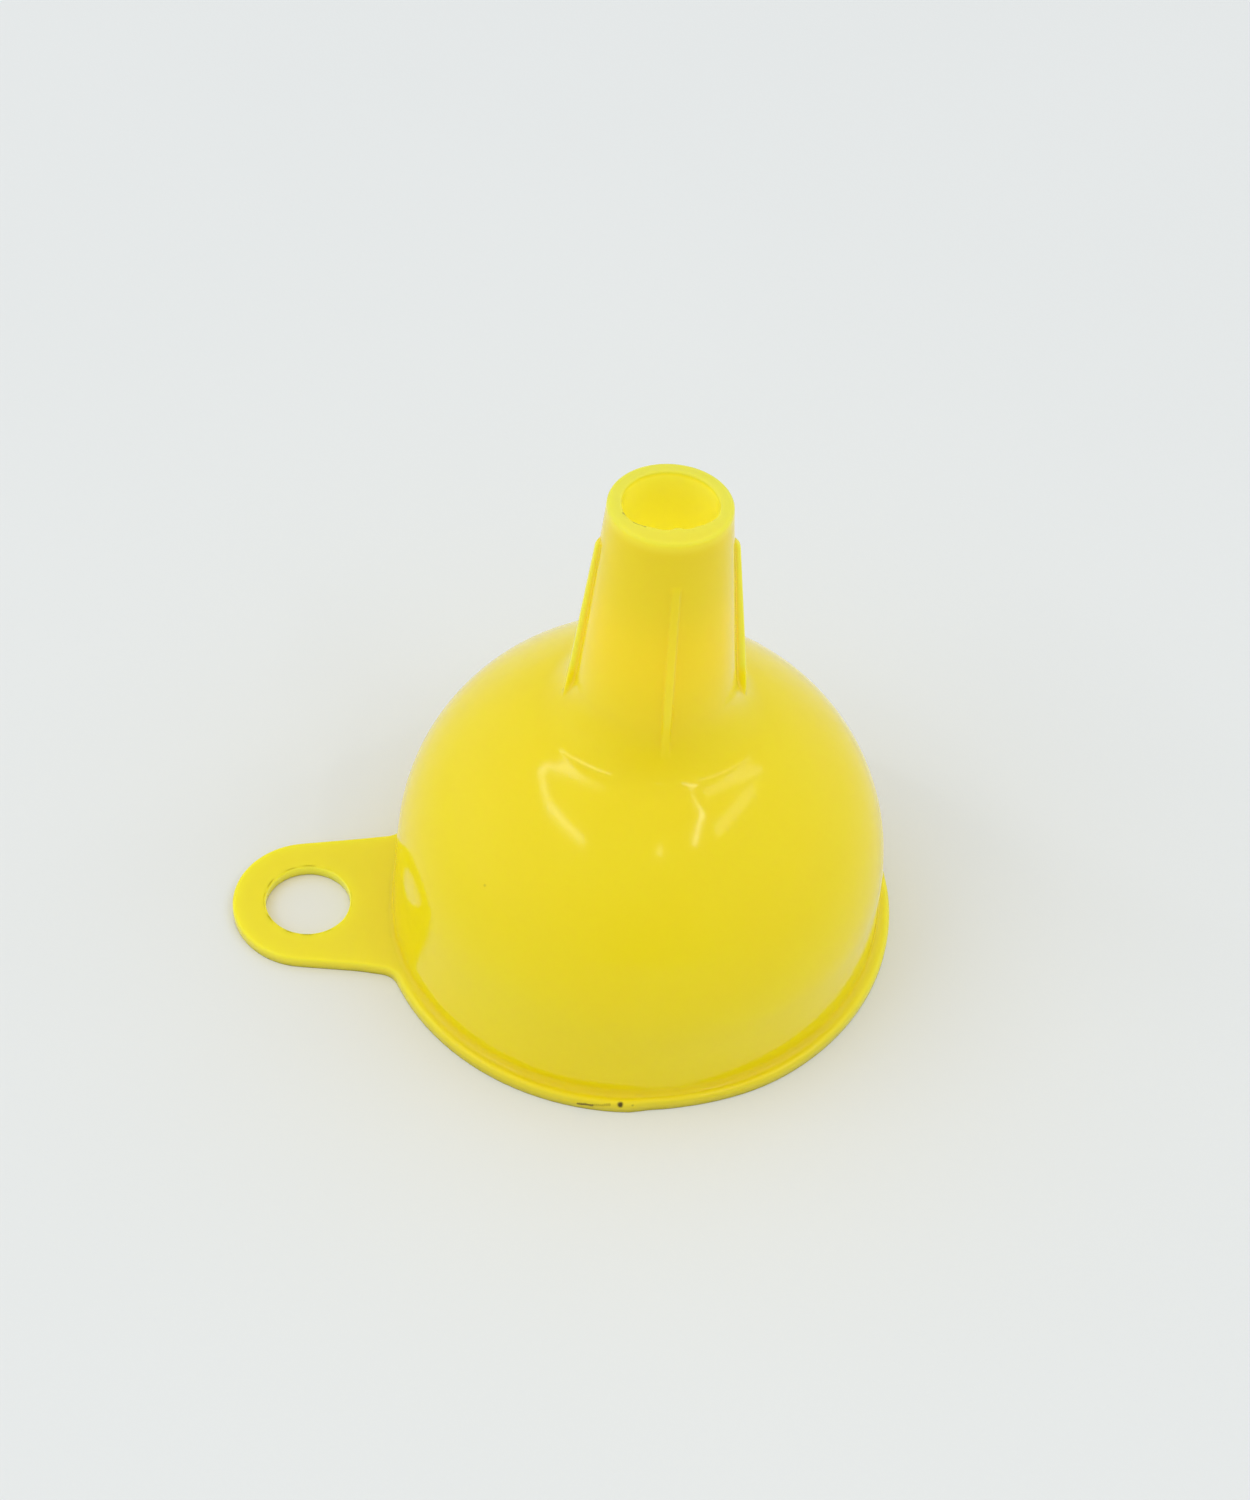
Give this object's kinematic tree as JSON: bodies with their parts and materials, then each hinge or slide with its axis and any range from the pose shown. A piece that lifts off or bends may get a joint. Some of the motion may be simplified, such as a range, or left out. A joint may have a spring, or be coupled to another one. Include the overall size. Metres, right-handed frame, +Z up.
{
  "type": "funnel",
  "caption": "Small domed funnel with a tapered ribbed spout, a narrow rim flange and a flat hang tab with a round hole.",
  "frame": {"origin": "centre of the mouth, in the plane of the rim", "axes": "+Z up along the funnel's axis, from the wide mouth to the spout's end; the hang tab points along -X; +Y completes the right-handed frame"},
  "size_m": [0.0778, 0.06, 0.0663],
  "materials": {
    "yellow_plastic": "semi-gloss polypropylene, coloured through, slightly translucent where the wall is thin"
  },
  "bodies": {
    "root": {"bowl_skirt": "yellow_plastic", "rim_flange": "yellow_plastic", "bowl_dome": "yellow_plastic", "spout_neck": "yellow_plastic", "spout_tube": "yellow_plastic", "spout_lip": "yellow_plastic", "hang_tab": "yellow_plastic", "air_rib_front": "yellow_plastic", "air_rib_right": "yellow_plastic", "air_rib_back": "yellow_plastic", "air_rib_left": "yellow_plastic"}
  },
  "joints": []
}
